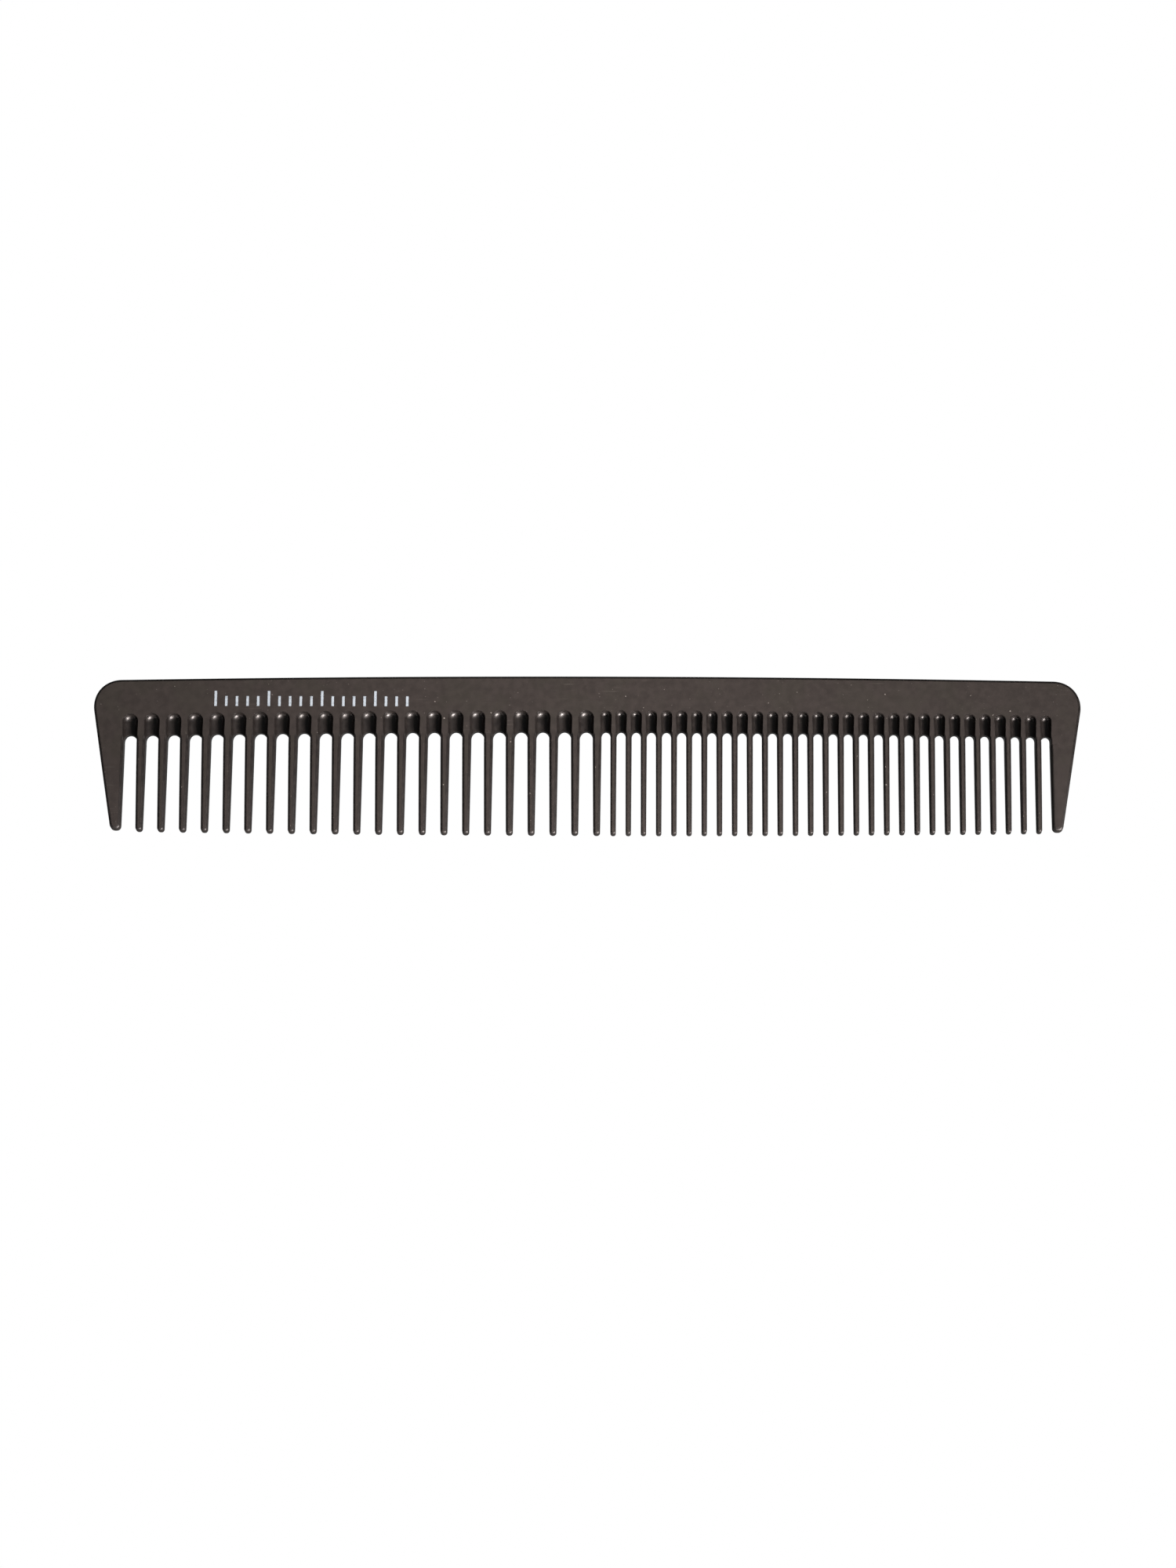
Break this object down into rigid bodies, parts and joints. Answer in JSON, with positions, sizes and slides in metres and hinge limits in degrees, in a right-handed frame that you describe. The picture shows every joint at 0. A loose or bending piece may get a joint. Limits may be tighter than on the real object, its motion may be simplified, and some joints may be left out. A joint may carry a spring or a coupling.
{
  "type": "hair comb",
  "caption": "Flat dressing comb in dark plastic with wide-set teeth on one half, close-set teeth on the other, a gently bowed back and a guard tooth at each end.",
  "frame": {"origin": "centre of the bounding box's bottom face, under the middle of the comb as it lies flat", "axes": "+X along the comb from its wide-set teeth to its close-set teeth, +Y from the tips to the back, +Z through the thickness"},
  "size_m": [0.185, 0.0302, 0.0035],
  "materials": {
    "spine": "dark warm grey moulded plastic, satin faces with fine pale flecks and polished scoops",
    "end_guards": "dark warm grey moulded plastic, satin",
    "coarse_teeth": "dark warm grey moulded plastic, satin faces with polished edges",
    "fine_teeth": "dark warm grey moulded plastic, satin faces with polished edges"
  },
  "bodies": {
    "root": {"spine": "spine", "coarse_end_guard": "end_guards", "fine_end_guard": "end_guards", "coarse_tooth_01": "coarse_teeth", "coarse_tooth_02": "coarse_teeth", "coarse_tooth_03": "coarse_teeth", "coarse_tooth_04": "coarse_teeth", "coarse_tooth_05": "coarse_teeth", "coarse_tooth_06": "coarse_teeth", "coarse_tooth_07": "coarse_teeth", "coarse_tooth_08": "coarse_teeth", "coarse_tooth_09": "coarse_teeth", "coarse_tooth_10": "coarse_teeth", "coarse_tooth_11": "coarse_teeth", "coarse_tooth_12": "coarse_teeth", "coarse_tooth_13": "coarse_teeth", "coarse_tooth_14": "coarse_teeth", "coarse_tooth_15": "coarse_teeth", "coarse_tooth_16": "coarse_teeth", "coarse_tooth_17": "coarse_teeth", "coarse_tooth_18": "coarse_teeth", "coarse_tooth_19": "coarse_teeth", "coarse_tooth_20": "coarse_teeth", "coarse_tooth_21": "coarse_teeth", "coarse_tooth_22": "coarse_teeth", "fine_tooth_01": "fine_teeth", "fine_tooth_02": "fine_teeth", "fine_tooth_03": "fine_teeth", "fine_tooth_04": "fine_teeth", "fine_tooth_05": "fine_teeth", "fine_tooth_06": "fine_teeth", "fine_tooth_07": "fine_teeth", "fine_tooth_08": "fine_teeth", "fine_tooth_09": "fine_teeth", "fine_tooth_10": "fine_teeth", "fine_tooth_11": "fine_teeth", "fine_tooth_12": "fine_teeth", "fine_tooth_13": "fine_teeth", "fine_tooth_14": "fine_teeth", "fine_tooth_15": "fine_teeth", "fine_tooth_16": "fine_teeth", "fine_tooth_17": "fine_teeth", "fine_tooth_18": "fine_teeth", "fine_tooth_19": "fine_teeth", "fine_tooth_20": "fine_teeth", "fine_tooth_21": "fine_teeth", "fine_tooth_22": "fine_teeth", "fine_tooth_23": "fine_teeth", "fine_tooth_24": "fine_teeth", "fine_tooth_25": "fine_teeth", "fine_tooth_26": "fine_teeth", "fine_tooth_27": "fine_teeth", "fine_tooth_28": "fine_teeth", "fine_tooth_29": "fine_teeth"}
  },
  "joints": []
}
